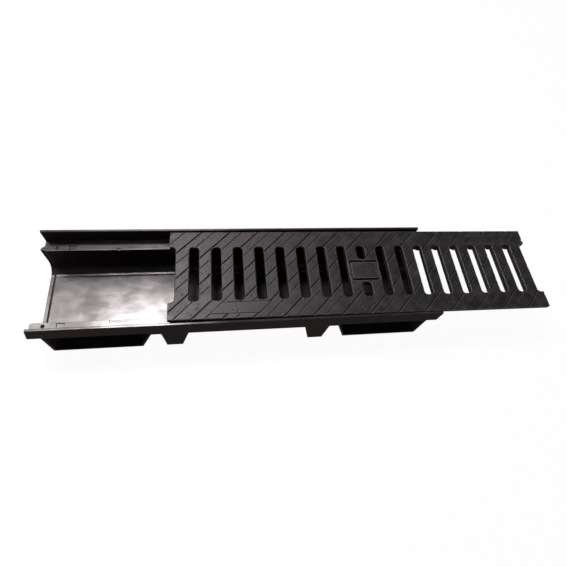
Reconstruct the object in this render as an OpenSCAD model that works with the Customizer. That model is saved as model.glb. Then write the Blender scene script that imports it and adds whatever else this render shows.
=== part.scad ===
// Linear drain: a slotted cast grate lying on the seats of a moulded channel.
// X runs along the channel, Y across it and Z up.
// The origin is the middle of the channel's base, on the surface that it stands on.

/* [Grate] */
// Length of the grate
grate_l = 500; // [330:1:700]
// Width of the grate
grate_w = 123; // [118:1:160]
// Height of the grate, from its seat to its top face
grate_h = 21.5; // [18:0.5:30]
// How far the grate has been slid along the channel from its closed place
grate_slide = 155.6; // [0:0.1:240]
// Share of its side play by which the grate's left end lies towards the front
play_left = 0.16; // [-0.96:0.02:0.96]
// The same share where the grate passes the channel's right end
play_right = 0.96; // [-0.96:0.02:0.96]
// Thickness of the lip along both long edges
lip_t = 4.5; // [3:0.5:6]
// Thickness of the slotted plate
plate_t = 7; // [5:0.5:8]
// Depth of the frame round the slots, from the top face
frame_t = 11; // [9:0.5:14]
// Distance of the seating rail's foot from the grate's edge
rail_inset = 7.2; // [5:0.1:9]
// Width of the seating rail's foot
rail_w = 8; // [5:0.5:10]
// Radius of the grate's outer corners
corner_r = 1.5; // [1:0.5:6]
// Bevel along the grate's long top edges
edge_bevel = 0.8; // [0.4:0.1:1.5]

/* [Slots] */
// Distance from slot to slot
slot_pitch = 27.46; // [22:0.02:40]
// Width of a slot
slot_w = 11.8; // [9:0.1:14]
// Length of a slot
slot_l = 75; // [60:1:80]
// Radius of a slot's corners
slot_r = 4.2; // [2:0.1:4.4]
// Bevel round a slot's top edge
slot_bevel = 0.9; // [0.4:0.1:1.5]
// Length of each half of the middle slot, in front of and behind the middle pad
short_slot_l = 20; // [14:0.5:21.5]
// Depth of the recess in each end of the grate
end_recess = 7.5; // [6:0.5:10]
// Radius of the corners in the end recesses
end_slot_r = 5.2; // [3:0.1:5.6]
// Depth of the ribs under the bars, from the top face
rib_depth = 14; // [12:0.5:16]
// Width of a rib at its foot
rib_w = 5; // [3:0.5:7]
// Width of a rib under the plate
rib_top_w = 7; // [5:0.5:9]

/* [Anti-slip grooves] */
// Distance along the grate from one deep groove to the next
groove_pitch = 36.6; // [30:0.1:50]
// Place along the grate's middle line of one deep groove
groove_shift = -14.6; // [-20:0.1:20]
// Distance from a deep groove to the fine groove after it
fine_shift = 15.1; // [10:0.1:22]
// Width of a deep groove at the top
groove_w = 2.5; // [1.4:0.1:3]
// Depth of a deep groove
groove_d = 1.5; // [0.8:0.1:2]
// Width of a fine groove at the top
fine_w = 1.3; // [0.8:0.1:2]
// Depth of a fine groove
fine_d = 0.7; // [0.4:0.1:1]

/* [Bare pads] */
// Distance of the pads' outer edge from the grate's long edge
pad_edge = 6.5; // [4:0.5:8]
// Width of the pads
pad_w = 14.8; // [10:0.1:16]
// Length of the plain pad in the middle of the grate
hub_l = 34; // [24:1:40]
// Width of the plain pad in the middle of the grate
hub_w = 24; // [16:1:26]
// Width of the moat round the middle pad
moat_w = 3.2; // [1.5:0.1:3.4]
// Depth of the moat round the middle pad
moat_d = 3; // [1:0.1:4]
// Width of the rules along the slanting pads
pad_rule_w = 1.2; // [0.8:0.1:2]
// Depth of the rules along the slanting pads
pad_rule_d = 0.8; // [0.4:0.1:1.4]

/* [Channel] */
// Length of the channel between its end faces
channel_l = 500; // [470:1:700]
// Height of the channel's rims
channel_h = 64.5; // [55:0.5:120]
// Height of the grate's top face over the rims
grate_proud = 1.5; // [0:0.1:3]
// Gap between the grate and the rim on each side
side_gap = 2.5; // [1:0.1:4]
// Thickness of the side walls that end in the rims
rim_t = 3.5; // [2.5:0.1:5]
// Clear width of the trough between the seats
clear_w = 98; // [88:1:102]
// Thickness of the trough's wall and floor
shell_t = 3; // [2.4:0.1:4]
// Thickness of the seats
seat_t = 2.4; // [2:0.1:4]
// Inside radius of the trough's bottom corners
trough_r = 13.5; // [8:0.5:16]
// Depth of the sunk panel in the floor
panel_d = 0.8; // [0.3:0.1:1.2]
// Width of the slope along the sunk panel's sides
panel_run = 2.8; // [1:0.1:5]
// Length of the gentler slope at the sunk panel's ends
panel_end_run = 30; // [2:1:60]
// Width of the flat rim between the sunk panel and the trough's curve
panel_rim = 0.3; // [0.1:0.1:4]
// Distance of the sunk panel from the channel's end faces
panel_end = 12; // [6:1:40]
// Bevel on the rims' edges
rim_bevel = 0.7; // [0.3:0.1:1]
// Depth of the stiffening lip below the seats, between the feet
skirt_drop = 4; // [2:0.5:6]

/* [Channel ends] */
// Length of the tongue at one end
tongue_l = 4.5; // [3:0.5:8]
// Thickness of the tongue
tongue_t = 1.6; // [1:0.1:1.8]
// Length of the slope from the trough down to the tongue
ramp_l = 3; // [1:0.5:4]
// Width of the ear that carries the tongue on along the back seat
ear_w = 8; // [4:0.5:12]
// How much the ear narrows towards its tip
ear_taper = 2; // [0.5:0.5:3]
// Height of the tongue along the front side
tongue_front_h = 30; // [20:1:40]
// How far the front rim leans back at the tongue end
rim_rake = 5; // [1:0.5:8]
// Clearance between a tongue and the next channel's socket
joint_gap = 0.2; // [0.1:0.05:0.4]

/* [Feet] */
// Distance of a foot's inner end from the middle of the channel
foot_in = 131; // [124:0.5:140]
// Distance of a foot's outer end from the channel's end face
foot_out = 14; // [6:1:20]
// How much wider a foot is at the seat, at its inner end
foot_slant = 17; // [4:0.5:18]
// Thickness of the feet's walls
foot_t = 3; // [2:0.1:4]
// How much a foot's pocket narrows towards the trough, at each end
pocket_draft = 7; // [2:1:12]
// Distance of a block's inner end from the middle of the channel
block_in = 82; // [70:0.5:90]
// Length of a block at its base
block_l = 19.5; // [14:0.5:26]
// How much longer a block is at the seat, towards the middle of the channel
block_slant = 11; // [2:0.5:14]
// How much longer a block is at the seat, towards the foot
block_flare = 3; // [1:0.5:6]
// Thickness of the blocks' walls
block_t = 3; // [2:0.1:4]

/* [Seat details] */
// Diameter of the conical dimples in the seats
dimple_d = 4.6; // [3:0.1:6]
// Depth of the dimples
dimple_h = 1.8; // [1:0.1:2]
// Distance of the dimples from the channel's end faces
dimple_x = 14.5; // [8:0.5:24]
// Distance of the dimples' middle from the seats' inner edge
mark_y = 4.3; // [4:0.1:6]
// Length of the locking pockets in the seats
lock_l = 9; // [6:0.5:14]
// Width of the locking pockets in the seats
lock_w = 6; // [3:0.5:7]
// Distance of the locking pockets from the channel's end faces
lock_x = 29; // [26:1:60]
// Depth of the locking pockets and of the edge notches
lock_d = 1; // [0.5:0.1:1.4]
// Distance of the edge notches from the channel's end faces
notch_x = 92; // [70:1:110]
// Length of the edge notches
notch_l = 5; // [3:0.5:8]
// Reach of the edge notches into the seats
notch_w = 3; // [1:0.5:5]

/* [Hidden] */
$fn = 64;

// Overshoot of a cutter past the face that it opens
over = 1;

// Channel sizes that follow from the grate
rim_in = grate_w / 2 + side_gap;
rim_out = rim_in + rim_t;
seat_z = channel_h + grate_proud - grate_h;
seat_in = clear_w / 2;
flange_z = seat_z - seat_t;
wall_out = seat_in + shell_t;
end_x = channel_l / 2;
foot_end = end_x - foot_out;
socket_l = tongue_l + joint_gap;
tongue_step = shell_t - tongue_t;
corner_y = seat_in - trough_r;
corner_z = shell_t + trough_r;
panel_y = corner_y - panel_rim;
panel_x = end_x - panel_end;
ramp_x0 = -end_x - ramp_l / 5;
ramp_x1 = ramp_x0 + ramp_l;
foot_top = flange_z + seat_t / 2;
foot_slope = foot_slant / foot_top;
lip_x = foot_in - foot_slope * (flange_z - skirt_drop) + foot_t / 3;
dimple_tip = 0.3;

// Grate sizes
edge_y = grate_w / 2;
plate_z = grate_h - plate_t;
frame_z = grate_h - frame_t;
rail_out = edge_y - rail_inset;
rail_in = rail_out - rail_w;
rail_draft = 2;
lip_run = 3;
frame_lap = 1.5;
frame_slope = 1;
bar_w = slot_pitch - slot_w;
slot_side_n = floor((grate_l / 2 - end_recess - bar_w / 2 - slot_w / 2) / slot_pitch);
end_rail_t = 8;
end_rail_draft = 1;
end_slot_w = 2 * end_recess;
end_slot_extra = 2;
end_slot_l = slot_l + end_slot_extra;
short_slot_y = (slot_l - short_slot_l) / 2;
bevel_over = slot_bevel + 0.2;
groove_reach = grate_w * 1.5;
groove_foot = 0.4;
groove_n = ceil((grate_l + grate_w) / 2 / groove_pitch) + 1;
pad_in = edge_y - pad_edge - pad_w;
pad_out = edge_y - pad_edge;
moat_r = 3;
hub_r = 1.5;

// How the grate lies in its side play
left_y = side_gap * play_left;
right_y = side_gap * play_right;
lie_slope = (left_y - right_y) / (end_x - grate_slide + grate_l / 2);
lie_turn = atan(lie_slope);
lie_y = lie_slope * grate_l / 2 - left_y;

// Outline of the trough, grown outwards from its inner face by t
module trough_outline(t) {
    for (side = [-1, 1]) {
        translate([side * corner_y, corner_z]) circle(r = trough_r + t);
    }
    translate([-corner_y, shell_t - t]) square([2 * corner_y, corner_z]);
    translate([-seat_in - t, corner_z]) square([clear_w + 2 * t, seat_z - corner_z]);
}

// Half of the side wall with its seat, right of the middle
module side_outline() {
    polygon([
        [seat_in, flange_z],
        [rim_out - rim_bevel, flange_z],
        [rim_out, flange_z + rim_bevel],
        [rim_out, channel_h - rim_bevel],
        [rim_out - rim_bevel, channel_h],
        [rim_in + rim_bevel, channel_h],
        [rim_in, channel_h - rim_bevel],
        [rim_in, seat_z],
        [seat_in, seat_z]
    ]);
}

// The stiffening lip below the side wall
module lip_outline() {
    polygon([
        [rim_in, flange_z - skirt_drop],
        [rim_out - rim_bevel, flange_z - skirt_drop],
        [rim_out, flange_z - skirt_drop + rim_bevel],
        [rim_out, flange_z + seat_t],
        [rim_in, flange_z + seat_t]
    ]);
}

// Sweeps an outline drawn in Y and Z along X, from x0 to x1
module along_x(x0, x1) {
    translate([x0, 0, 0]) rotate([90, 0, 90]) linear_extrude(x1 - x0) children();
}

// Sweeps an outline drawn in X and Z along Y, from y0 to y1
module along_y(y0, y1) {
    translate([0, y1, 0]) rotate([90, 0, 0]) linear_extrude(y1 - y0) children();
}

// Repeats what stands on one long side on the other one
module both_sides() {
    children();
    mirror([0, 1, 0]) children();
}

// Repeats what stands near one end near the other one
module both_ends() {
    children();
    mirror([1, 0, 0]) children();
}

// Wedge in plan: from x0 to x1 at y0, and wider by d at each end at y1
module plan_wedge(x0, x1, y0, y1, d) {
    translate([0, 0, -over]) linear_extrude(flange_z + 2 * over)
        polygon([[x0, y0], [x1, y0], [x1 + d, y1], [x0 - d, y1]]);
}

// A long foot: a sole and two end webs round a pocket that is open to the side
module foot() {
    pocket_in = foot_in + foot_t;
    pocket_out = foot_end - foot_t;
    difference() {
        along_y(corner_y, rim_out) polygon([
            [foot_in, 0],
            [foot_end, 0],
            [foot_end, foot_top],
            [foot_in - foot_slant, foot_top]
        ]);
        intersection() {
            along_y(corner_y - over, rim_out + over) polygon([
                [pocket_in - foot_slope * foot_t, foot_t],
                [pocket_out, foot_t],
                [pocket_out, flange_z],
                [pocket_in - foot_slope * flange_z, flange_z]
            ]);
            plan_wedge(pocket_in - foot_slant + pocket_draft, pocket_out - pocket_draft,
                wall_out, rim_out + over, pocket_draft);
        }
        along_y(corner_y - over, wall_out) polygon([
            [pocket_in + pocket_draft, foot_t],
            [pocket_out - pocket_draft, foot_t],
            [pocket_out - pocket_draft, flange_z],
            [pocket_in + pocket_draft, flange_z]
        ]);
    }
}

// Body of a short block from z0 up to z1, shrunk by t on its sides and face
module block_body(z0, z1, t) {
    along_y(corner_y, rim_out - t) polygon([
        [block_in + t, z0],
        [block_in + block_l - t, z0],
        [block_in + block_l - t + block_flare, z1],
        [block_in + t - block_slant, z1]
    ]);
}

// A short block: closed at its face, hollow and open below
module block() {
    difference() {
        block_body(0, foot_top, 0);
        block_body(-over, flange_z, block_t);
    }
}

// Small marks that the seats carry near one end
module seat_marks() {
    lane_y = seat_in + mark_y;
    translate([end_x - dimple_x, lane_y, seat_z - dimple_h])
        cylinder(r1 = dimple_tip, r2 = dimple_d / 2, h = dimple_h);
    translate([end_x - dimple_x, lane_y, seat_z]) cylinder(d = dimple_d, h = over);
    translate([end_x - lock_x - lock_l, lane_y - lock_w / 2, seat_z - lock_d])
        cube([lock_l, lock_w, lock_d + over]);
    translate([end_x - notch_x, seat_in - over, seat_z - lock_d])
        cube([notch_l, over + notch_w, lock_d + over]);
}

// Sunk panel in the trough's floor, with sloping sides
module floor_panel() {
    intersection() {
        along_x(-end_x, end_x) polygon([
            [-panel_y, shell_t],
            [panel_run - panel_y, shell_t - panel_d],
            [panel_y - panel_run, shell_t - panel_d],
            [panel_y, shell_t],
            [panel_y, shell_t + over],
            [-panel_y, shell_t + over]
        ]);
        along_y(-seat_in, seat_in) polygon([
            [-panel_x, shell_t],
            [panel_end_run - panel_x, shell_t - panel_d],
            [panel_x - panel_end_run, shell_t - panel_d],
            [panel_x, shell_t],
            [panel_x, shell_t + over],
            [-panel_x, shell_t + over]
        ]);
    }
}

// Slope from the trough's inner face down to the tongue's
module tongue_ramp() {
    for (side = [-1, 1]) {
        translate([ramp_x0, side * corner_y, corner_z]) rotate([0, 90, 0])
            cylinder(r1 = trough_r + tongue_step, r2 = trough_r, h = ramp_l);
    }
    along_y(-corner_y, corner_y) polygon([
        [ramp_x0, shell_t - tongue_step],
        [ramp_x1, shell_t],
        [ramp_x1, corner_z],
        [ramp_x0, corner_z]
    ]);
    translate([0, 0, corner_z]) linear_extrude(seat_z + over - corner_z) polygon([
        [ramp_x0, -seat_in - tongue_step],
        [ramp_x1, -seat_in],
        [ramp_x1, seat_in],
        [ramp_x0, seat_in + tongue_step]
    ]);
}

// Ear that carries the tongue on along the back seat
module tongue_ear() {
    intersection() {
        along_y(seat_in, seat_in + ear_w) polygon([
            [-end_x - tongue_l, flange_z],
            [over - end_x, flange_z],
            [over - end_x, seat_z],
            [-end_x, seat_z],
            [-end_x - tongue_step, seat_z - tongue_step],
            [-end_x - tongue_l, seat_z - tongue_step]
        ]);
        linear_extrude(seat_z + over) polygon([
            [-end_x - tongue_l - over, seat_in],
            [over - end_x, seat_in],
            [over - end_x, seat_in + ear_w],
            [-end_x, seat_in + ear_w],
            [-end_x - tongue_l, seat_in + ear_w - ear_taper],
            [-end_x - tongue_l - over, seat_in + ear_w - ear_taper]
        ]);
    }
}

// Cutter that slants the front rim's end at the tongue
module rim_rake_cutter() {
    along_y(-rim_out - over, -seat_in) polygon([
        [-end_x - over, seat_z],
        [-end_x, seat_z],
        [rim_rake - end_x, channel_h],
        [rim_rake - end_x, channel_h + over],
        [-end_x - over, channel_h + over]
    ]);
}

// The channel: side walls, seats, trough, feet and blocks in one moulding
module channel() {
    color("#1f1d20")
    difference() {
        union() {
            along_x(-end_x - tongue_l, end_x) trough_outline(shell_t);
            along_x(-end_x, end_x) {
                side_outline();
                mirror([1, 0]) side_outline();
            }
            both_sides() along_x(-lip_x, lip_x) lip_outline();
            both_ends() both_sides() {
                foot();
                block();
            }
            tongue_ear();
        }
        along_x(ramp_x1, end_x + over) trough_outline(0);
        along_x(-end_x - tongue_l - over, ramp_x0) trough_outline(tongue_step);
        tongue_ramp();
        along_x(-end_x - tongue_l - over, -end_x) translate([-wall_out - over, tongue_front_h])
            square([wall_out, seat_z]);
        rim_rake_cutter();
        floor_panel();
        along_x(-end_x - tongue_l - over, end_x + over) translate([-seat_in, seat_z - over])
            square([clear_w, 2 * over]);
        along_x(end_x - socket_l, end_x + over) difference() {
            translate([-wall_out - over, -over]) square([2 * (wall_out + over), flange_z + over]);
            trough_outline(tongue_step - joint_gap);
        }
        both_ends() both_sides() seat_marks();
    }
}

// Slot outline with rounded corners
module slot_outline(w, l, r) {
    square([w - 2 * r, l], center = true);
    square([w, l - 2 * r], center = true);
    for (sx = [-1, 1], sy = [-1, 1]) {
        translate([sx * (w / 2 - r), sy * (l / 2 - r)]) circle(r = r);
    }
}

// Cutter for one slot: straight walls, and a bevel round the top edge
module slot_cutter(w, l, r) {
    b = bevel_over;
    translate([0, 0, -over]) linear_extrude(grate_h + 2 * over) slot_outline(w, l, r);
    translate([0, 0, grate_h - slot_bevel]) {
        for (sx = [-1, 1], sy = [-1, 1]) {
            translate([sx * (w / 2 - r), sy * (l / 2 - r), 0]) cylinder(r1 = r, r2 = r + b, h = b);
        }
        along_y(r - l / 2, l / 2 - r) polygon([[-w / 2, 0], [w / 2, 0], [w / 2 + b, b], [-w / 2 - b, b]]);
        along_x(r - w / 2, w / 2 - r) polygon([[-l / 2, 0], [l / 2, 0], [l / 2 + b, b], [-l / 2 - b, b]]);
    }
}

// Every slot, and the half slots in the two ends
module slots() {
    for (i = [-slot_side_n : slot_side_n]) {
        if (i != 0) {
            translate([i * slot_pitch, 0, 0]) slot_cutter(slot_w, slot_l, slot_r);
        }
    }
    for (side = [-1, 1]) {
        translate([0, side * short_slot_y, 0]) slot_cutter(slot_w, short_slot_l, slot_r);
        translate([side * grate_l / 2, 0, 0]) slot_cutter(end_slot_w, end_slot_l, end_slot_r);
    }
}

// Half of the grate's cross-section, right of the middle
function half_section() = [
    [edge_y - edge_bevel, grate_h],
    [edge_y, grate_h - edge_bevel],
    [edge_y, grate_h - lip_t],
    [edge_y - lip_run, grate_h - lip_t - lip_run],
    [rail_out, 0],
    [rail_in, 0],
    [rail_in - rail_draft, frame_z],
    [slot_l / 2 - frame_lap, frame_z],
    [slot_l / 2 - frame_lap - frame_slope, plate_z]
];

function mirrored(points) = [for (i = [len(points) - 1 : -1 : 0]) [-points[i][0], points[i][1]]];

// Plate, lips, frame and seating rails as one section
module grate_section() {
    polygon(concat(half_section(), mirrored(half_section())));
}

// Tapered rib under a bar, across the grate
module bar_rib(x, w_top, w_foot, depth) {
    translate([x, 0, 0]) along_y(-rail_in, rail_in) polygon([
        [-w_top / 2, plate_z + over],
        [-w_foot / 2, grate_h - depth],
        [w_foot / 2, grate_h - depth],
        [w_top / 2, plate_z + over]
    ]);
}

// Ribs under every bar, and a deeper rail along each end
module ribs() {
    for (i = [-slot_side_n : slot_side_n - 1]) {
        bar_rib((i + 0.5) * slot_pitch, rib_top_w, rib_w, rib_depth);
    }
    for (side = [-1, 1]) {
        bar_rib(side * (grate_l / 2 - end_recess - end_rail_t / 2),
            end_rail_t, end_rail_t - end_rail_draft, frame_t);
    }
}

// One slanting groove that crosses the grate's middle line at x
module groove(x, w, d) {
    foot = groove_foot * w / 2;
    translate([x, 0, grate_h]) rotate([0, 0, -45]) along_y(-groove_reach, groove_reach)
        polygon([[-w / 2, over / 2], [-w / 2, 0], [-foot, -d], [foot, -d], [w / 2, 0], [w / 2, over / 2]]);
}

// Deep and fine grooves by turns
module grooves() {
    for (k = [-groove_n : groove_n]) {
        groove(groove_shift + k * groove_pitch, groove_w, groove_d);
        groove(groove_shift + fine_shift + k * groove_pitch, fine_w, fine_d);
    }
}

// Slanting bare pad between the lines that cross the middle line at c0 and c1
module slant_pad(c0, c1, y0, y1) {
    translate([0, 0, plate_z]) linear_extrude(plate_t + over)
        polygon([[c0 + y0, y0], [c1 + y0, y0], [c1 + y1, y1], [c0 + y1, y1]]);
}

// Shallow rule along a slanting pad's long edge
module pad_rule(c0, c1, y) {
    translate([c0 + y, y - pad_rule_w / 2, grate_h - pad_rule_d])
        cube([c1 - c0, pad_rule_w, pad_rule_d + over]);
}

// Lines between which the two slanting pads lie
front_pad_c0 = groove_shift + fine_shift - 4 * groove_pitch;
front_pad_c1 = groove_shift - 2 * groove_pitch;
back_pad_c0 = groove_shift + fine_shift + 3 * groove_pitch;
back_pad_c1 = groove_shift + fine_shift + 5 * groove_pitch;

// Places that no groove crosses
module pads() {
    slant_pad(front_pad_c0, front_pad_c1, -pad_out, -pad_in);
    slant_pad(back_pad_c0, back_pad_c1, pad_in, pad_out);
    translate([0, 0, plate_z]) linear_extrude(plate_t + over)
        slot_outline(hub_l + 2 * moat_w, hub_w + 2 * moat_w, moat_r);
}

// Rules along the slanting pads and the moat round the middle pad
module pad_lines() {
    pad_rule(front_pad_c0, front_pad_c1, -pad_out);
    pad_rule(front_pad_c0, front_pad_c1, -pad_in);
    pad_rule(back_pad_c0, back_pad_c1, pad_in);
    pad_rule(back_pad_c0, back_pad_c1, pad_out);
    translate([0, 0, grate_h - moat_d]) linear_extrude(moat_d + over) difference() {
        slot_outline(hub_l + 2 * moat_w, hub_w + 2 * moat_w, moat_r);
        slot_outline(hub_l, hub_w, hub_r);
    }
}

// The grate in its own frame, standing on its rails
module grate_body() {
    difference() {
        intersection() {
            union() {
                along_x(-grate_l / 2, grate_l / 2) grate_section();
                ribs();
            }
            translate([0, 0, -over]) linear_extrude(grate_h + 2 * over)
                slot_outline(grate_l, grate_w, corner_r);
        }
        slots();
        difference() {
            grooves();
            pads();
        }
        pad_lines();
    }
}

// The grate where it lies on the seats, slid along the channel and slightly askew
module grate() {
    color("#2a2929") translate([grate_slide, lie_y, seat_z]) rotate([0, 0, lie_turn]) grate_body();
}

channel();
grate();
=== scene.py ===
"""Looks of a slotted drain grate that lies, slid to one side, on its moulded channel.

X runs along the channel, Y across it and Z up. A name that ends in _mm holds millimetres.
Everything that reaches Blender is in metres.
"""

import logging
from abc import ABC, abstractmethod
from dataclasses import dataclass
from enum import Enum
from math import pi
from typing import Any, ClassVar

import bpy
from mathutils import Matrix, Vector

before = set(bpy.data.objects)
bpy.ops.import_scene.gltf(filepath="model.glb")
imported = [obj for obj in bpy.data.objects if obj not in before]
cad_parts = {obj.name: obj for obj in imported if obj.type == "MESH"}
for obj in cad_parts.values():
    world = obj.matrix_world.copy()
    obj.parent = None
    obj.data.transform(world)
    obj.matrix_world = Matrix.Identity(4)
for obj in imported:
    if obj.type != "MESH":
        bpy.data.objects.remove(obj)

LOG = logging.getLogger("drain_grate")
MM = 0.001
EDGE_SAMPLES = 6
WEAR_SAMPLES = 8

# The sRGB curve: a straight foot up to the knee, and a power above it.
SRGB_KNEE = 0.04045
SRGB_FOOT_SLOPE = 12.92
SRGB_OFFSET = 0.055
SRGB_POWER = 2.4

Colour = tuple[float, float, float, float]
Range = tuple[float, float]

# Between these lie most values of a cloudy pattern.
CLOUD_SPREAD: Range = (0.35, 0.65)
WIDE_CLOUD_SPREAD: Range = (0.3, 0.7)


class CadNode(Enum):
    """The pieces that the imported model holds."""

    CHANNEL = "channel"
    GRATE = "grate"


class Kind(Enum):
    """The kinds of shader node in use."""

    AMBIENT_OCCLUSION = "ShaderNodeAmbientOcclusion"
    BACKGROUND = "ShaderNodeBackground"
    BEVEL = "ShaderNodeBevel"
    BUMP = "ShaderNodeBump"
    CELLS = "ShaderNodeTexVoronoi"
    COORDINATES = "ShaderNodeTexCoord"
    DIFFUSE = "ShaderNodeBsdfDiffuse"
    EMISSION = "ShaderNodeEmission"
    GEOMETRY = "ShaderNodeNewGeometry"
    LIGHT_OUTPUT = "ShaderNodeOutputLight"
    LIGHT_PATH = "ShaderNodeLightPath"
    MAPPING = "ShaderNodeMapping"
    MATERIAL_OUTPUT = "ShaderNodeOutputMaterial"
    MATH = "ShaderNodeMath"
    MIX = "ShaderNodeMix"
    MIX_SHADER = "ShaderNodeMixShader"
    NOISE = "ShaderNodeTexNoise"
    PRINCIPLED = "ShaderNodeBsdfPrincipled"
    RANGE = "ShaderNodeMapRange"
    SPLIT = "ShaderNodeSeparateXYZ"
    WORLD_OUTPUT = "ShaderNodeOutputWorld"


class Mixing(Enum):
    """Sockets of the colour mixing node, which has several of one name."""

    FACTOR = 0
    FIRST = 6
    SECOND = 7
    RESULT = 2


def to_linear(hex_colour: str) -> Colour:
    """Turns an sRGB colour into the linear one that shaders take.

    Args:
        hex_colour: The colour as #rrggbb.

    Returns:
        Linear red, green, blue and an alpha of 1.
    """
    shares = [int(hex_colour[i : i + 2], 16) / 255 for i in (1, 3, 5)]
    red, green, blue = (
        share / SRGB_FOOT_SLOPE
        if share <= SRGB_KNEE
        else ((share + SRGB_OFFSET) / (1 + SRGB_OFFSET)) ** SRGB_POWER
        for share in shares
    )
    return red, green, blue, 1.0


def scale_of(size_mm: float) -> float:
    """Gives the texture scale at which a pattern repeats about every size_mm."""
    return 1.0 / (size_mm * MM)


def add_node(
    tree: bpy.types.NodeTree,
    kind: Kind,
    inputs: dict[str | int | Mixing, Any] | tuple[Any, ...] = (),
    **settings: Any,
) -> bpy.types.Node:
    """Adds a node, sets its options and fills its sockets.

    Args:
        tree: The node tree that the node goes into.
        kind: The kind of node.
        inputs: What goes into each socket, by its name or number, or in the order of the
            sockets. It is a value, an output socket to link, or a node whose first output is
            linked.
        settings: The node's own options by name.

    Returns:
        The new node.
    """
    node = tree.nodes.new(kind.value)
    for name, value in settings.items():
        setattr(node, name, value)
    for key, value in inputs.items() if isinstance(inputs, dict) else enumerate(inputs):
        socket = node.inputs[key.value if isinstance(key, Mixing) else key]
        source = value.outputs[0] if isinstance(value, bpy.types.Node) else value
        if isinstance(source, bpy.types.NodeSocket):
            tree.links.new(source, socket)
        else:
            socket.default_value = source
    return node


def overlap(tree: bpy.types.NodeTree, *masks: Any) -> bpy.types.Node:
    """Marks what all of the masks mark.

    Args:
        tree: The node tree that the nodes go into.
        masks: Nodes, sockets or plain numbers, the first of them not a number.

    Returns:
        The node that ends in their product.
    """
    product = masks[0]
    for mask in masks[1:]:
        product = add_node(tree, Kind.MATH, (product, mask), operation="MULTIPLY")
    return product


def facing_up(tree: bpy.types.NodeTree, steepness: Range) -> bpy.types.Node:
    """Marks the faces that look up.

    Args:
        tree: The node tree that the nodes go into.
        steepness: Upward parts of the normal at which the mark begins and is whole.

    Returns:
        A node that gives 1 on level faces and 0 on upright ones.
    """
    geometry = add_node(tree, Kind.GEOMETRY)
    normal = add_node(tree, Kind.SPLIT, (geometry.outputs["Normal"],))
    inputs = (normal.outputs["Z"], *steepness)
    return add_node(tree, Kind.RANGE, inputs, interpolation_type="SMOOTHSTEP")


def layer_colours(
    tree: bpy.types.NodeTree, base: str, layers: tuple[tuple[bpy.types.Node, str], ...]
) -> bpy.types.NodeSocket:
    """Lays films of colour over a base colour.

    Args:
        tree: The node tree that the nodes go into.
        base: The sRGB colour at the bottom.
        layers: The share and the sRGB colour of each film, from the lowest up.

    Returns:
        The colour on top.
    """
    under: Colour | bpy.types.NodeSocket = to_linear(base)
    for share, colour in layers:
        inputs = {Mixing.FACTOR: share, Mixing.FIRST: under, Mixing.SECOND: to_linear(colour)}
        mix = add_node(tree, Kind.MIX, inputs, data_type="RGBA")
        under = mix.outputs[Mixing.RESULT.value]
    return under


@dataclass(frozen=True)
class Clouds:
    """A cloudy pattern: size of its largest clouds, number of finer layers, what each keeps."""

    size_mm: float
    layers: float
    keep: float

    def read_at(self, place: bpy.types.NodeSocket | bpy.types.Node) -> dict[str, Any]:
        """Gives what a noise texture takes to draw the pattern, read at a place."""
        return {
            "Vector": place, "Scale": scale_of(self.size_mm),
            "Detail": self.layers, "Roughness": self.keep,
        }


class Finish(ABC):
    """A surface finish that makes its own node material."""

    material_name: ClassVar[str]

    @abstractmethod
    def shade(self, tree: bpy.types.NodeTree) -> bpy.types.Node:
        """Adds the finish's nodes.

        Args:
            tree: The material's node tree.

        Returns:
            The shader that the finish ends in.
        """

    def build(self) -> bpy.types.Material:
        """Makes the node material."""
        material = bpy.data.materials.new(self.material_name)
        material.use_nodes = True
        tree = material.node_tree
        tree.nodes.clear()
        add_node(tree, Kind.MATERIAL_OUTPUT, {"Surface": self.shade(tree)})
        return material


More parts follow.
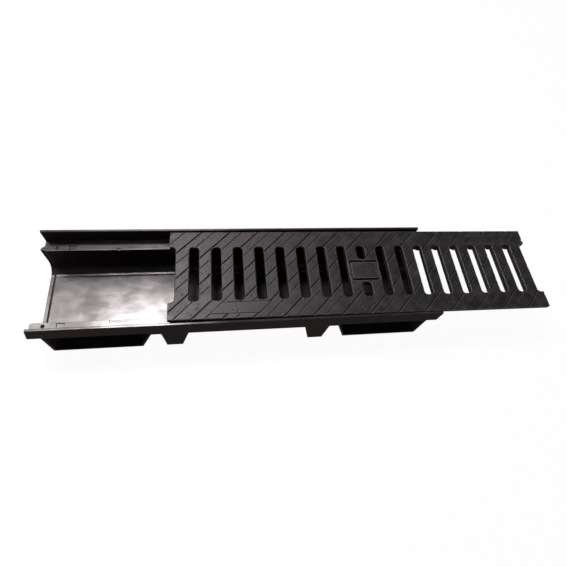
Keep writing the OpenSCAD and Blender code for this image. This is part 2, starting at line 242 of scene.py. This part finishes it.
@dataclass(frozen=True)
class BitumenDippedIron(Finish):
    """Ductile iron from a sand mould, shot-blasted and dipped in black bitumen paint.

    The sand leaves a pebbled skin. The film is satin where it was wiped level on top, and dull in
    the slots, where it ran thick. Handling thins it to a greyer tone along the high edges, and
    rinsed dust leaves pale specks in the grain. The sand's own grains are too fine to show, so
    the skin and the specks are drawn several times coarser than real ones.
    """

    material_name: ClassVar[str] = "bitumen_dipped_sand_cast_iron"

    film: str = "#121010"
    cloudy_film: str = "#272324"
    worn_film: str = "#5d5456"
    speck: str = "#7d7473"
    sheen_tint: str = "#fbf2f3"
    clouds: Clouds = Clouds(16.0, 4.0, 0.6)
    cloud_range: Range = (0.4, 0.68)
    specks: Clouds = Clouds(2.2, 4.0, 0.75)
    speck_range: Range = (0.62, 0.72)
    speck_share: float = 0.35
    wear_reach_mm: float = 1.8
    wear_range: Range = (0.92, 0.55)
    wear_share: float = 0.6
    grain: Clouds = Clouds(2.2, 3.0, 0.65)
    grain_height_mm: float = 0.3
    pit_mm: float = 6.0
    pit_range: Range = (0.06, 0.2)
    pit_depth_mm: float = 0.3
    edge_mm: float = 0.9
    satin_steepness: Range = (0.45, 0.8)
    satin_roughness: Range = (0.38, 0.54)
    satin_specular: float = 0.46
    dull_roughness: float = 0.7
    dull_specular: float = 0.12

    def colour(
        self, tree: bpy.types.NodeTree, place: bpy.types.NodeSocket, cloud: bpy.types.Node
    ) -> bpy.types.NodeSocket:
        """Builds the film's colour.

        Args:
            tree: The material's node tree.
            place: The place in the part's own frame.
            cloud: The pattern in which the film varies.

        Returns:
            The colour with its clouds, specks and worn edges.
        """
        cloudy = add_node(tree, Kind.RANGE, (cloud, *self.cloud_range))
        dust = add_node(tree, Kind.NOISE, self.specks.read_at(place))
        dusty = add_node(tree, Kind.RANGE, (dust, *self.speck_range, 0.0, self.speck_share))
        reach = {"Distance": self.wear_reach_mm * MM}
        wear = add_node(
            tree, Kind.AMBIENT_OCCLUSION, reach,
            samples=WEAR_SAMPLES, inside=True, only_local=True,
        )
        inputs = (wear.outputs["AO"], *self.wear_range, 0.0, self.wear_share)
        worn = add_node(tree, Kind.RANGE, inputs)
        layers = ((cloudy, self.cloudy_film), (dusty, self.speck), (worn, self.worn_film))
        return layer_colours(tree, self.film, layers)

    def skin(self, tree: bpy.types.NodeTree, place: bpy.types.NodeSocket) -> bpy.types.Node:
        """Builds the pebbled skin with its pits and rounded edges.

        Args:
            tree: The material's node tree.
            place: The place in the part's own frame.

        Returns:
            The node that gives the normal.
        """
        radius = {"Radius": self.edge_mm * MM}
        edges = add_node(tree, Kind.BEVEL, radius, samples=EDGE_SAMPLES)
        grain = add_node(tree, Kind.NOISE, self.grain.read_at(place))
        bumps = {"Height": grain, "Distance": self.grain_height_mm * MM, "Normal": edges}
        grainy = add_node(tree, Kind.BUMP, bumps)
        cells = {"Vector": place, "Scale": scale_of(self.pit_mm)}
        pits = add_node(tree, Kind.CELLS, cells, feature="SMOOTH_F1")
        pitted = add_node(tree, Kind.RANGE, (pits.outputs["Distance"], *self.pit_range))
        dents = {"Height": pitted, "Distance": self.pit_depth_mm * MM, "Normal": grainy}
        return add_node(tree, Kind.BUMP, dents)

    def shade(self, tree: bpy.types.NodeTree) -> bpy.types.Node:
        """Adds the satin film on top and the dull one on the upright faces.

        Args:
            tree: The material's node tree.

        Returns:
            The shader that the finish ends in.
        """
        place = add_node(tree, Kind.COORDINATES).outputs["Object"]
        cloud = add_node(tree, Kind.NOISE, self.clouds.read_at(place))
        colour = self.colour(tree, place, cloud)
        skin = self.skin(tree, place)
        gloss = add_node(tree, Kind.RANGE, (cloud, *WIDE_CLOUD_SPREAD, *self.satin_roughness))
        satin = add_node(
            tree, Kind.PRINCIPLED,
            {
                "Base Color": colour, "Roughness": gloss, "Normal": skin,
                "Specular IOR Level": self.satin_specular,
                "Specular Tint": to_linear(self.sheen_tint),
            },
        )
        dull = add_node(
            tree, Kind.PRINCIPLED,
            {
                "Base Color": colour, "Roughness": self.dull_roughness, "Normal": skin,
                "Specular IOR Level": self.dull_specular,
            },
        )
        return add_node(tree, Kind.MIX_SHADER, (facing_up(tree, self.satin_steepness), dull, satin))


@dataclass(frozen=True)
class MouldedPolypropylene(Finish):
    """Black polypropylene, injection moulded between a polished core and eroded sides.

    Level faces, such as the trough's floor and the seats, have a wet gloss with a slight waviness
    and faint flow marks along the moulding. A cloudy haze from handling takes the gloss off in
    patches. Upright faces come out matt and black. A thin film of dust greys whatever faces up.
    Light is painted on the seats as grey patches, more so towards where the grate now lies. Spark
    erosion leaves a texture too fine to show, so it is drawn coarser than the real one.
    """

    material_name: ClassVar[str] = "injection_moulded_polypropylene"

    resin: str = "#0e0c0e"
    matt_resin: str = "#211a1a"
    # Grey painted on the seats as light that they catch.
    seat_light_grey: str = "#8d8687"
    dust: str = "#9a8f91"
    sheen_tint: str = "#fbf2f3"
    matt_tint: str = "#ecd3cc"
    dust_share: float = 0.1
    dust_steepness: Range = (0.3, 0.95)
    dust_patches: Range = (0.4, 1.0)
    dust_grain: Range = (0.5, 1.0)
    specks: Clouds = Clouds(1.4, 3.0, 0.7)
    # Patches, shares and run along X of the painted light on the seats.
    seat_light_patches: Clouds = Clouds(3.0, 4.0, 0.7)
    seat_light_shares: Range = (0.102, 0.68)
    seat_light_run_mm: Range = (-250.0, -110.0)
    seat_light_growth: Range = (0.1, 1.0)
    seat_level_mm: Range = (43.0, 45.5)
    wave: Clouds = Clouds(30.0, 2.0, 0.4)
    wave_height_mm: float = 0.34
    streaks: Clouds = Clouds(5.0, 4.0, 0.6)
    streak_run: float = 14.0
    streak_height_mm: float = 0.012
    haze: Clouds = Clouds(26.0, 3.0, 0.55)
    haze_squeeze: float = 0.7
    haze_range: Range = (0.38, 0.6)
    haze_clearness: Range = (0.6, 1.0)
    erosion: Clouds = Clouds(0.7, 2.0, 0.5)
    erosion_height_mm: float = 0.05
    edge_mm: float = 0.5
    polished_steepness: Range = (0.6, 0.95)
    polished_roughness: Range = (0.15, 0.23)
    eroded_roughness: float = 0.6
    eroded_specular: float = 0.014

    def settle_dust(
        self,
        tree: bpy.types.NodeTree,
        place: bpy.types.NodeSocket,
        wave: bpy.types.Node,
        up: bpy.types.Node,
    ) -> bpy.types.Node:
        """Marks the film of dust.

        Args:
            tree: The material's node tree.
            place: The place in the part's own frame.
            wave: The pattern in which the dust lies thicker and thinner.
            up: The mark of the faces that look up.

        Returns:
            The node that gives the dust's share.
        """
        patchy = add_node(tree, Kind.RANGE, (wave, *CLOUD_SPREAD, *self.dust_patches))
        specks = add_node(tree, Kind.NOISE, self.specks.read_at(place))
        grainy = add_node(tree, Kind.RANGE, (specks, *CLOUD_SPREAD, *self.dust_grain))
        return overlap(tree, up, self.dust_share, patchy, grainy)

    def paint_seat_light(
        self,
        tree: bpy.types.NodeTree,
        place: bpy.types.NodeSocket,
        along: bpy.types.Node,
        up: bpy.types.Node,
    ) -> bpy.types.Node:
        """Marks the painted light on the seats: grey patches that grow towards where the grate
        lies.

        Args:
            tree: The material's node tree.
            place: The place in the part's own frame.
            along: The same place, drawn out along the channel.
            up: The mark of the faces that look up.

        Returns:
            The node that gives the share of painted light on the seats.
        """
        axes = add_node(tree, Kind.SPLIT, (place,)).outputs
        # The painted light on the seats grows along X towards where the grate lies.
        start, end = (x_mm * MM for x_mm in self.seat_light_run_mm)
        slid_over = add_node(tree, Kind.RANGE, (axes["X"], start, end, *self.seat_light_growth))
        bottom, top = (z_mm * MM for z_mm in self.seat_level_mm)
        above = add_node(tree, Kind.MATH, (axes["Z"], bottom), operation="GREATER_THAN")
        below = add_node(tree, Kind.MATH, (axes["Z"], top), operation="LESS_THAN")
        seat_light_patches = add_node(tree, Kind.NOISE, self.seat_light_patches.read_at(along))
        seat_light = add_node(tree, Kind.RANGE, (seat_light_patches, *CLOUD_SPREAD, *self.seat_light_shares))
        return overlap(tree, seat_light, above, below, up, slid_over)

    def polish(self, tree: bpy.types.NodeTree, place: bpy.types.NodeSocket) -> bpy.types.Node:
        """Marks where the gloss is clear: on level faces, but for the haze.

        Args:
            tree: The material's node tree.
            place: The place in the part's own frame.

        Returns:
            The node that gives the share of clear gloss.
        """
        squeeze = {"Vector": place, "Scale": (self.haze_squeeze, 1.0, 1.0)}
        drawn_out = add_node(tree, Kind.MAPPING, squeeze)
        haze = add_node(tree, Kind.NOISE, self.haze.read_at(drawn_out))
        clear = add_node(
            tree, Kind.RANGE, (haze, *self.haze_range, *self.haze_clearness),
            interpolation_type="SMOOTHSTEP",
        )
        return overlap(tree, facing_up(tree, self.polished_steepness), clear)

    def shade(self, tree: bpy.types.NodeTree) -> bpy.types.Node:
        """Adds the polished faces and the eroded ones.

        Args:
            tree: The material's node tree.

        Returns:
            The shader that the finish ends in.
        """
        place = add_node(tree, Kind.COORDINATES).outputs["Object"]
        run = {"Vector": place, "Scale": (1 / self.streak_run, 1.0, 1.0)}
        along = add_node(tree, Kind.MAPPING, run)
        wave = add_node(tree, Kind.NOISE, self.wave.read_at(place))
        streak = add_node(tree, Kind.NOISE, self.streaks.read_at(along))
        erosion = add_node(tree, Kind.NOISE, self.erosion.read_at(place))
        up = facing_up(tree, self.dust_steepness)
        dusty = self.settle_dust(tree, place, wave, up)
        seat_light = self.paint_seat_light(tree, place, along, up)

        radius = {"Radius": self.edge_mm * MM}
        edges = add_node(tree, Kind.BEVEL, radius, samples=EDGE_SAMPLES)
        waves = {"Height": wave, "Distance": self.wave_height_mm * MM, "Normal": edges}
        wavy = add_node(tree, Kind.BUMP, waves)
        marks = {"Height": streak, "Distance": self.streak_height_mm * MM, "Normal": wavy}
        flow = add_node(tree, Kind.BUMP, marks)
        texture = {"Height": erosion, "Distance": self.erosion_height_mm * MM, "Normal": edges}
        rough = add_node(tree, Kind.BUMP, texture)

        gloss = add_node(tree, Kind.RANGE, (streak, *WIDE_CLOUD_SPREAD, *self.polished_roughness))
        # Dust, and over it the painted light on the seats.
        dust_and_seat_light = ((dusty, self.dust), (seat_light, self.seat_light_grey))
        polished = add_node(
            tree, Kind.PRINCIPLED,
            {
                "Base Color": layer_colours(tree, self.resin, dust_and_seat_light),
                "Roughness": gloss, "Normal": flow,
                "Specular Tint": to_linear(self.sheen_tint),
            },
        )
        eroded = add_node(
            tree, Kind.PRINCIPLED,
            {
                "Base Color": layer_colours(tree, self.matt_resin, ((dusty, self.dust),)),
                "Roughness": self.eroded_roughness, "Normal": rough,
                "Specular IOR Level": self.eroded_specular,
                "Specular Tint": to_linear(self.matt_tint),
            },
        )
        return add_node(tree, Kind.MIX_SHADER, (self.polish(tree, place), eroded, polished))


@dataclass(frozen=True)
class PaleStudioFloor(Finish):
    """Matt white studio sheet, which keeps the object's soft shadow.

    What the camera, a reflection or a clear piece sees of it is lifted almost to white.
    """

    material_name: ClassVar[str] = "matt_white_studio_sheet"

    sheet: str = "#f4f4f4"
    lift: float = 0.955

    def shade(self, tree: bpy.types.NodeTree) -> bpy.types.Node:
        """Adds the sheet and what lifts it.

        Args:
            tree: The material's node tree.

        Returns:
            The shader that the finish ends in.
        """
        path = add_node(tree, Kind.LIGHT_PATH).outputs
        rays = (path["Is Camera Ray"], path["Is Glossy Ray"])
        seen = add_node(tree, Kind.MATH, rays, operation="ADD")
        rays = (seen, path["Is Transmission Ray"])
        seen = add_node(tree, Kind.MATH, rays, operation="ADD", use_clamp=True)
        sheet = add_node(tree, Kind.DIFFUSE, {"Color": to_linear(self.sheet)})
        white = add_node(tree, Kind.EMISSION, {"Strength": 1.0})
        return add_node(tree, Kind.MIX_SHADER, (overlap(tree, seen, self.lift), sheet, white))


@dataclass(frozen=True)
class PackedPiece:
    """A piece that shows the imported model's own solid."""

    node: CadNode
    finish: Finish

    def dress(self, nodes: dict[str, bpy.types.Object]) -> None:
        """Gives the solid its finish.

        Args:
            nodes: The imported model's objects by node name.
        """
        material = self.finish.build()
        for slot in nodes[self.node.value].material_slots:
            slot.material = material
        LOG.info("%s: %s", self.node.value, material.name)


@dataclass(frozen=True)
class Grate(PackedPiece):
    """The slotted casting that lies on the channel's seats."""

    node: CadNode = CadNode.GRATE
    finish: Finish = BitumenDippedIron()


@dataclass(frozen=True)
class Channel(PackedPiece):
    """The moulded channel with its trough, seats, rims and feet."""

    node: CadNode = CadNode.CHANNEL
    finish: Finish = MouldedPolypropylene()


@dataclass(frozen=True)
class Softbox:
    """A lamp with a rectangular face that hangs level and fades out towards its edges."""

    name: str
    place_mm: tuple[float, float, float]
    width_mm: float
    depth_mm: float
    radiance: float
    fade: float = 0.3

    def edge_fade(
        self, tree: bpy.types.NodeTree, share: bpy.types.NodeSocket
    ) -> tuple[bpy.types.Node, bpy.types.Node]:
        """Fades towards both ends of one direction of the face.

        Args:
            tree: The lamp's node tree.
            share: How far along that direction a point lies, from 0 to 1.

        Returns:
            The fade at the near end and the one at the far end.
        """
        near = (share, 0.0, self.fade)
        far = (share, 1.0, 1.0 - self.fade)
        return (
            add_node(tree, Kind.RANGE, near, interpolation_type="SMOOTHSTEP"),
            add_node(tree, Kind.RANGE, far, interpolation_type="SMOOTHSTEP"),
        )

    def build(self) -> None:
        """Hangs the lamp with its face down."""
        data = bpy.data.lights.new(self.name, "AREA")
        data.shape = "RECTANGLE"
        data.size = self.width_mm * MM
        data.size_y = self.depth_mm * MM
        data.energy = self.radiance * pi * data.size * data.size_y
        data.use_nodes = True
        tree = data.node_tree
        tree.nodes.clear()
        face = add_node(tree, Kind.GEOMETRY).outputs["Parametric"]
        shares = add_node(tree, Kind.SPLIT, (face,)).outputs
        across = overlap(tree, *self.edge_fade(tree, shares["X"]))
        deep = overlap(tree, *self.edge_fade(tree, shares["Y"]))
        glow = add_node(tree, Kind.EMISSION, {"Strength": overlap(tree, across, deep)})
        add_node(tree, Kind.LIGHT_OUTPUT, {"Surface": glow})
        lamp = bpy.data.objects.new(self.name, data)
        lamp.location = Vector(self.place_mm) * MM
        bpy.context.scene.collection.objects.link(lamp)


@dataclass(frozen=True)
class PhotoCamera:
    """The camera, where the photograph was taken from.

    The place and the turn come from the grate's and the channel's edges in the photograph.
    """

    place_mm: tuple[float, float, float] = (-34.23, -248.58, 511.32)
    right: tuple[float, float, float] = (0.98618, -0.10158, 0.13091)
    up: tuple[float, float, float] = (0.02938, 0.88473, 0.46517)
    lens_mm: float = 25.683
    sensor_mm: float = 36.0
    shift: Range = (-0.0039, -0.0014)

    def build(self) -> None:
        """Sets up the camera and makes it the scene's own."""
        data = bpy.data.cameras.new("photo_camera")
        data.lens = self.lens_mm
        data.sensor_width = self.sensor_mm
        data.shift_x, data.shift_y = self.shift
        camera = bpy.data.objects.new("photo_camera", data)
        right = Vector(self.right).normalized()
        back = right.cross(Vector(self.up)).normalized()
        turn = camera.matrix_world.to_3x3()
        for row in range(3):
            turn[row] = right[row], back.cross(right)[row], back[row]
        camera.matrix_world = turn.to_4x4()
        camera.location = Vector(self.place_mm) * MM
        bpy.context.scene.collection.objects.link(camera)
        bpy.context.scene.camera = camera


@dataclass(frozen=True)
class Studio:
    """Floor, lamps, sky and camera."""

    floor_mm: float = 9000.0
    sky: str = "#ffffff"
    sky_strength: float = 0.15
    horizon: Range = (0.26, 0.08)
    finish: Finish = PaleStudioFloor()
    camera: PhotoCamera = PhotoCamera()
    lamps: tuple[Softbox, ...] = (
        Softbox("key_softbox", (-400, 550, 1500), 500, 345, 70.0),
        Softbox("fill_softbox", (-640, 600, 1500), 1000, 480, 11.0),
        Softbox("back_softbox", (-350, 1080, 1500), 1100, 280, 9.0),
        Softbox("side_softbox", (-1000, 625, 1500), 370, 410, 60.0, 0.25),
    )

    def lay_floor(self) -> None:
        """Lays the floor that the channel stands on."""
        half = self.floor_mm * MM / 2
        corners = [(-half, -half, 0), (half, -half, 0), (half, half, 0), (-half, half, 0)]
        mesh = bpy.data.meshes.new("studio_floor")
        mesh.from_pydata(corners, [], [(0, 1, 2, 3)])
        mesh.materials.append(self.finish.build())
        floor = bpy.data.objects.new("studio_floor", mesh)
        bpy.context.scene.collection.objects.link(floor)

    def fill_sky(self) -> None:
        """Fills the surroundings with an even pale light.

        The camera and clear pieces see white all round. Reflections see white near the horizon
        and the dim studio ceiling above it.
        """
        world = bpy.data.worlds.new("studio_sky")
        world.use_nodes = True
        tree = world.node_tree
        tree.nodes.clear()
        path = add_node(tree, Kind.LIGHT_PATH).outputs
        way = add_node(tree, Kind.COORDINATES).outputs["Generated"]
        height = add_node(tree, Kind.SPLIT, (way,)).outputs["Z"]
        low = (height, *self.horizon)
        low = add_node(tree, Kind.RANGE, low, interpolation_type="SMOOTHSTEP")
        mirrored = overlap(tree, path["Is Glossy Ray"], low)
        rays = (path["Is Camera Ray"], path["Is Transmission Ray"])
        seen = add_node(tree, Kind.MATH, rays, operation="ADD")
        seen = add_node(tree, Kind.MATH, (seen, mirrored), operation="ADD", use_clamp=True)
        strength = add_node(tree, Kind.RANGE, (seen, 0.0, 1.0, self.sky_strength, 1.0))
        light = {"Color": to_linear(self.sky), "Strength": strength}
        sky = add_node(tree, Kind.BACKGROUND, light)
        add_node(tree, Kind.WORLD_OUTPUT, {"Surface": sky})
        bpy.context.scene.world = world

    def build(self) -> None:
        """Sets up everything that is not part of the object."""
        self.camera.build()
        self.lay_floor()
        self.fill_sky()
        for softbox in self.lamps:
            softbox.build()
        bpy.context.scene.view_settings.view_transform = "Standard"
        LOG.info("studio: floor, sky, camera and %d softboxes", len(self.lamps))


def main() -> None:
    """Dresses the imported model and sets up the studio."""
    logging.basicConfig(level=logging.INFO, format="%(name)s: %(message)s")
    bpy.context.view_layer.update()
    Channel().dress(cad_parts)
    Grate().dress(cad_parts)
    Studio().build()


if __name__ == "__main__":
    main()
